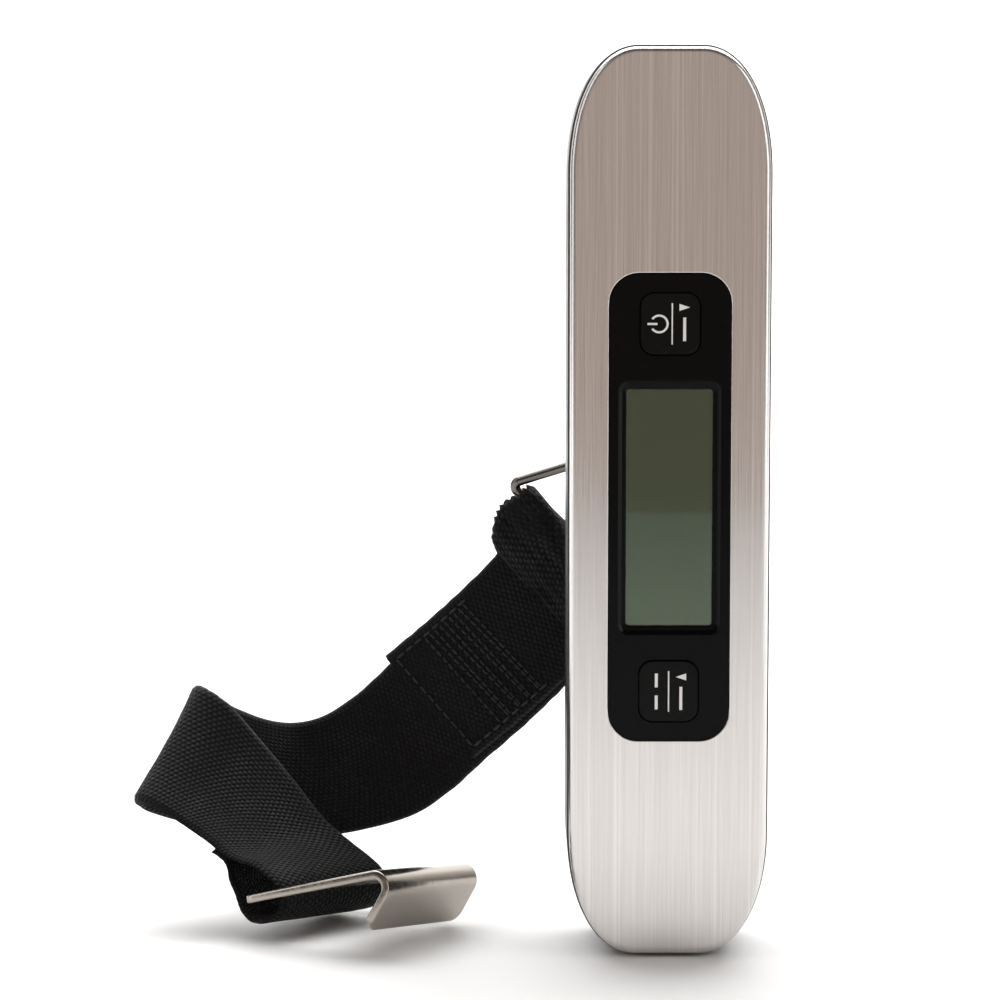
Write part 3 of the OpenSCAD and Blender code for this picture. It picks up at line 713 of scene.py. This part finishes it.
LOOP = [
    ((9.2, 27.3, 5.4), (0.6, 3.5, 5.2)), ((12.6, 27.5, 1.6), (4.4, 3.6, 1.6)),
    ((13.2, 27.5, -1.6), (5.4, 3.6, -1.6)), ((11.4, 27.6, -4), (4.2, 3.4, -4.1)),
    ((7, 27.8, -4.5), (1.6, 3.1, -4.7)), ((2.2, 27.9, -4.1), (-1.2, 2.9, -4.1)),
    ((-1, 28, -2.4), (-2.6, 2.9, -2.2)), ((-2.3, 28, 0.4), (-3.2, 2.9, 0.4)),
    ((-3.2, 28, 3.4), (-4, 2.9, 3.4)),
]


def unit(v):
    v = np.asarray(v, float)
    return v / np.linalg.norm(v)


RUN_UP = [(bar_mid - bar_half, bar_mid + bar_half)]
RUN_UP += [(np.array(a, float), np.array(b, float)) for a, b in RUN]
NOTCH, TAIL = 3, 6


def front(i):
    """The way that the run's face looks at a station: forwards on the part next to the ring."""
    a, b = RUN_UP[max(i - 1, 0)], RUN_UP[min(i + 1, len(RUN_UP) - 1)]
    along = b[0] + b[1] - a[0] - a[1]
    return unit(np.cross(along, RUN_UP[i][1] - RUN_UP[i][0]))


def shifted(i, off):
    return tuple(RUN_UP[i][k] + off * front(i) for k in (0, 1))


def wrap(radius, turns):
    """Edges of a ribbon going over the ring's bar, from its front to its back."""
    across = unit(bar_half)
    down = unit((RUN_UP[1][0] + RUN_UP[1][1]) / 2 - bar_mid)
    down = unit(down - across * np.dot(down, across))
    face = unit(np.cross(down, across))
    if np.dot(face, front(1)) < 0:
        face = -face
    out = []
    for turn in turns:
        a = math.radians(turn)
        shift = radius * (math.cos(a) * face - math.sin(a) * down)
        out.append((RUN_UP[0][0] + shift, RUN_UP[0][1] + shift))
    return out


def strap_stations():
    """Both edges of the ribbon's middle: the tail's end, up, round the ring's bar and down to the hook."""
    lift = 0.68
    end = tuple(RUN_UP[TAIL][k] + 0.12 * (RUN_UP[TAIL + 1][k] - RUN_UP[TAIL][k]) for k in (0, 1))
    tail = [tuple(end[k] + lift * front(TAIL) for k in (0, 1))]
    tail += [shifted(i, lift if i > 1 else lift + 0.2) for i in range(TAIL, 0, -1)]
    # The tail is sewn on a little out of line, so its end shows as a step in the outline
    slips = [1.5, 1.5, 1.3, 1.0, 0.6, 0.0, 0.0]
    tail = [tuple(p + slip * unit(pair[0] - pair[1]) for p in pair) for slip, pair in zip(slips, tail)]
    sleeve = wrap(WIRE_R + 0.2 + WEB_T / 2, (-20, 20, 60, 100, 140, 180, 205))
    back = [shifted(i, -{1: lift + 0.2, TAIL + 1: 0.35}.get(i, lift if i <= TAIL else 0.0))
            for i in range(1, len(RUN_UP))]
    loop = [(hook_point(a), hook_point(b)) for a, b in LOOP]
    n = front(len(RUN_UP) - 1)
    end = [tuple(RUN_UP[-1][k] + 1.5 * n for k in (0, 1)),
           tuple(0.45 * RUN_UP[-1][k] + 0.55 * RUN_UP[-2][k] + 1.45 * n for k in (0, 1))]
    return tail + sleeve + back + loop + end


def catmull(points, steps):
    """Points along a uniform Catmull-Rom curve through every point."""
    out = []
    last = len(points) - 1
    for i in range(last):
        a, b, c, d = (points[min(max(i + k, 0), last)] for k in (-1, 0, 1, 2))
        for s in range(steps):
            t = s / steps
            out.append(0.5 * (2 * b + (c - a) * t + (2 * a - 5 * b + 4 * c - d) * t * t
                              + (3 * b - a - 3 * c + d) * t ** 3))
    out.append(points[-1])
    return out


class Ribbon:
    """A strip of webbing through stations of two edge points, in millimetres."""

    def __init__(self, stations, steps):
        self.upper = np.array(catmull([s[0] for s in stations], steps))
        self.lower = np.array(catmull([s[1] for s in stations], steps))
        middle = (self.upper + self.lower) / 2
        self.travel = np.concatenate([[0], np.cumsum(np.linalg.norm(np.diff(middle, axis=0), axis=1))])
        self.facing = np.array([unit(np.cross(a, lo - up)) for a, up, lo
                                in zip(np.gradient(middle, axis=0), self.upper, self.lower)])

    def at(self, s, u, off):
        """The point at distance s along and u across from 0 to 1, raised off the ribbon's middle."""
        i = min(max(int(np.searchsorted(self.travel, s) - 1), 0), len(self.travel) - 2)
        t = (s - self.travel[i]) / max(self.travel[i + 1] - self.travel[i], 1e-9)
        up = self.upper[i] * (1 - t) + self.upper[i + 1] * t
        lo = self.lower[i] * (1 - t) + self.lower[i + 1] * t
        n = unit(self.facing[i] * (1 - t) + self.facing[i + 1] * t)
        return up * (1 - u) + lo * u + n * off

    def piece(self, name, material, thickness=1.3, across=28, ripple=0.04, wander=0.06):
        verts, uvs = [], []
        half = thickness / 2
        section = [(j / across, 1) for j in range(across + 1)]
        section += [(j / across, -1) for j in range(across, -1, -1)]
        for k, s in enumerate(self.travel):
            width = np.linalg.norm(self.lower[k] - self.upper[k])
            for u, side in section:
                from_edge = min(min(u, 1 - u) * width / 0.6, 1)
                thin = 0.1 + 0.9 * math.sqrt(max(0.0, 1 - (1 - from_edge) ** 2))
                wave = ripple * math.sin(s * 1.7 + 5 * u) * math.sin(s * 0.61 + 9 * u + 1)
                p = self.at(s, u, side * (half * thin - 0.04) + wave)
                if u in (0.0, 1.0):
                    edge = unit(self.lower[k] - self.upper[k])
                    p = p + edge * (-1 if u == 0 else 1) * wander * math.sin(s * 5.1)
                verts.append(p * MM)
                uvs.append((u, s))
        size = len(section)
        faces = loops_to_faces(len(self.travel), size)
        faces.append(tuple(range(size)))
        faces.append(tuple(range((len(self.travel) - 1) * size, len(self.travel) * size)))
        return new_piece(name, verts, faces, material, "strap_run", uvs=uvs)


def stitches(name, places):
    """Short raised threads; each place is two points on the strap's face and the face's normal."""
    verts, faces = [], []
    for a, b, n in places:
        way = unit(b - a)
        side = unit(np.cross(way, n))
        first = len(verts)
        rings = ((0, 0.35), (0.18, 0.85), (0.5, 1.0), (0.82, 0.85), (1, 0.35))
        for t, k in rings:
            centre = a + (b - a) * t + n * 0.1 * math.sin(math.pi * t)
            for q in range(6):
                turn = math.radians(60 * q)
                verts.append((centre + 0.2 * k * math.cos(turn) * side + 0.2 * k * math.sin(turn) * n) * MM)
        faces += loops_to_faces(len(rings), 6, first)
        faces.append(tuple(range(first, first + 6)))
        faces.append(tuple(range(first + 24, first + 30)))
    return new_piece(name, verts, faces, thread(), "strap_run")


def thread_line(s0, u0, s1, u1, step, off):
    """A run of stitches between two places on the strap."""
    p, q = ribbon.at(s0, u0, off), ribbon.at(s1, u1, off)
    count = max(1, int(np.linalg.norm(q - p) / step))
    out = []
    for i in range(count):
        a, b = (i + 0.1) / count, (i + 0.9) / count
        sa, ua, sb, ub = s0 + (s1 - s0) * a, u0 + (u1 - u0) * a, s0 + (s1 - s0) * b, u0 + (u1 - u0) * b
        pa, pb = ribbon.at(sa, ua, off), ribbon.at(sb, ub, off)
        mid = ribbon.at((sa + sb) / 2, (ua + ub) / 2, off + math.copysign(0.2, off))
        out.append((pa, pb, unit(mid - (pa + pb) / 2)))
    return out


WEBBING = webbing()
STRAP_STEPS = 6
ribbon = Ribbon(strap_stations(), STRAP_STEPS)
strap_piece = ribbon.piece("webbing_strap", WEBBING)
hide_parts("strap")
hem_path = [shifted(NOTCH, 0.9), shifted(2, 1.35), shifted(1, 1.5)]
hem_path += wrap(WIRE_R + 0.42 + WEB_T / 2, (-10, 20, 60, 100, 140, 180, 200))
hem_path += [shifted(1, -1.5), shifted(2, -1.35), shifted(NOTCH, -0.9)]
# The hem stands out past the strap's upper edge, and less so on the bar, where the ring's corner is close
HEM_PAST = [1.3] * 3 + [0.6] * 7 + [1.3] * 3
hem_path = [(upper + past * unit(upper - lower), lower) for past, (upper, lower) in zip(HEM_PAST, hem_path)]
# Painted highlight: the hem's webbing has its crowns made lighter by lift, for the light that the roll
# catches
hem_webbing_painted_light = webbing(pitch=1.15, lift=0.025, creases=9.0)
hem = Ribbon(hem_path, 8).piece("rolled_hem", hem_webbing_painted_light, 1.35, ripple=0.24, wander=0.3)
below_hem = float(ribbon.travel[STRAP_STEPS * (TAIL - NOTCH)])
rows = []
side_of_face = -1 if np.dot(ribbon.facing[8], unit((0, -1, 0))) < 0 else 1
stitch_off = side_of_face * (WEB_T / 2 - 0.03)
for i in range(9):
    s = below_hem * (0.42 + 0.06 * i)
    rows += thread_line(s, 0.08, s + (0.5 if i % 2 else -0.3), 0.92, 1.5, stitch_off)
for u in (0.07, 0.93):
    rows += thread_line(1.6, u, below_hem - 1.0, u, 2.2, stitch_off)
rows += thread_line(1.6, 0.07, 1.6, 0.93, 2.0, stitch_off)
seam = stitches("tail_stitching", rows)

for name, width in EDGE.items():
    soften(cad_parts[name], width)
soften(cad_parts["ring"], 0)


# ---------------------------------------------------------------- studio
def area(name, place, target, size, power, colour=(1, 1, 1)):
    light = bpy.data.lights.new(name, "AREA")
    light.shape = "RECTANGLE"
    light.size, light.size_y = size
    light.energy = power
    light.color = colour
    ob = bpy.data.objects.new(name, light)
    ob.location = place
    ob.rotation_euler = (Vector(target) - Vector(place)).to_track_quat("-Z", "Y").to_euler()
    scene.collection.objects.link(ob)
    return ob


def sweep():
    """Pale floor that curves up into a backdrop far behind."""
    profile = [(-0.72, 0.0), (-0.3, 0.0), (0.0, 0.0), (0.5, 0.0), (1.0, 0.0)]
    for i in range(1, 13):
        a = math.radians(90 * i / 12)
        profile.append((1.0 + 0.5 * math.sin(a), 0.5 * (1 - math.cos(a))))
    profile.append((1.5, 2.2))
    verts, faces = [], []
    for y, z in profile:
        verts += [(-2.2, y, z - 0.0002), (2.2, y, z - 0.0002)]
    for i in range(len(profile) - 1):
        faces.append((2 * i, 2 * i + 1, 2 * i + 3, 2 * i + 2))
    mesh = bpy.data.meshes.new("floor")
    mesh.from_pydata(verts, [], faces)
    for poly in mesh.polygons:
        poly.use_smooth = True
    floor = Nodes("floor_white", (0.9, 0.9, 0.9), 0.6)
    floor.link(floor.mix(floor.noise(floor.coords(), 3, 2), (0.88, 0.88, 0.88), (0.92, 0.92, 0.92)),
               floor.shader.inputs["Base Color"])
    mesh.materials.append(floor.mat)
    ob = bpy.data.objects.new("floor", mesh)
    scene.collection.objects.link(ob)


sweep()


def studio_world():
    """A room that is grey in front of the face and nearly dark elsewhere, so metal has contrast."""
    world = bpy.data.worlds.new("studio")
    world.use_nodes = True
    tree = world.node_tree
    back = tree.nodes["Background"]
    coord = tree.nodes.new("ShaderNodeTexCoord")
    parts = tree.nodes.new("ShaderNodeSeparateXYZ")
    span = tree.nodes.new("ShaderNodeMapRange")
    blend = tree.nodes.new("ShaderNodeMix")
    blend.data_type = "RGBA"
    span.interpolation_type = "SMOOTHSTEP"
    for key, v in (("From Min", 0.55), ("From Max", 0.95), ("To Min", 0), ("To Max", 1)):
        span.inputs[key].default_value = v
    flip = tree.nodes.new("ShaderNodeMath")
    flip.operation = "MULTIPLY"
    flip.inputs[1].default_value = -1
    blend.inputs[6].default_value = (0.1, 0.092, 0.086, 1)
    blend.inputs[7].default_value = (0.51, 0.425, 0.375, 1)
    tree.links.new(coord.outputs["Generated"], parts.inputs[0])
    tree.links.new(parts.outputs["Y"], flip.inputs[0])
    tree.links.new(flip.outputs[0], span.inputs["Value"])
    tree.links.new(span.outputs["Result"], blend.inputs[0])
    tree.links.new(blend.outputs[2], back.inputs[0])
    back.inputs[1].default_value = 1.0
    scene.world = world


studio_world()
area("key_top", (0.05, 0.8, 1.45), (0, 0.1, 0), (2.4, 1.9), 33)
area("side_left", (-0.75, -0.15, 0.35), (0, 0, 0.08), (0.25, 0.9), 1.4)
area("side_right", (0.8, -0.3, 0.3), (0, 0, 0.08), (0.35, 0.9), 2.4)
area("backdrop_light", (0, 0.7, 1.3), (0, 1.4, 0.3), (2.5, 0.8), 30)

camera = bpy.data.cameras.new("camera")
camera.sensor_width = 36
camera.lens = 120.85
camera.clip_start, camera.clip_end = 0.01, 20
cam = bpy.data.objects.new("camera", camera)
cam.location = (-0.0288, -0.5803, 0.1388)
cam.rotation_euler = (math.radians(90 - 6), 0, 0)
scene.collection.objects.link(cam)
scene.camera = cam
scene.view_settings.view_transform = "Standard"
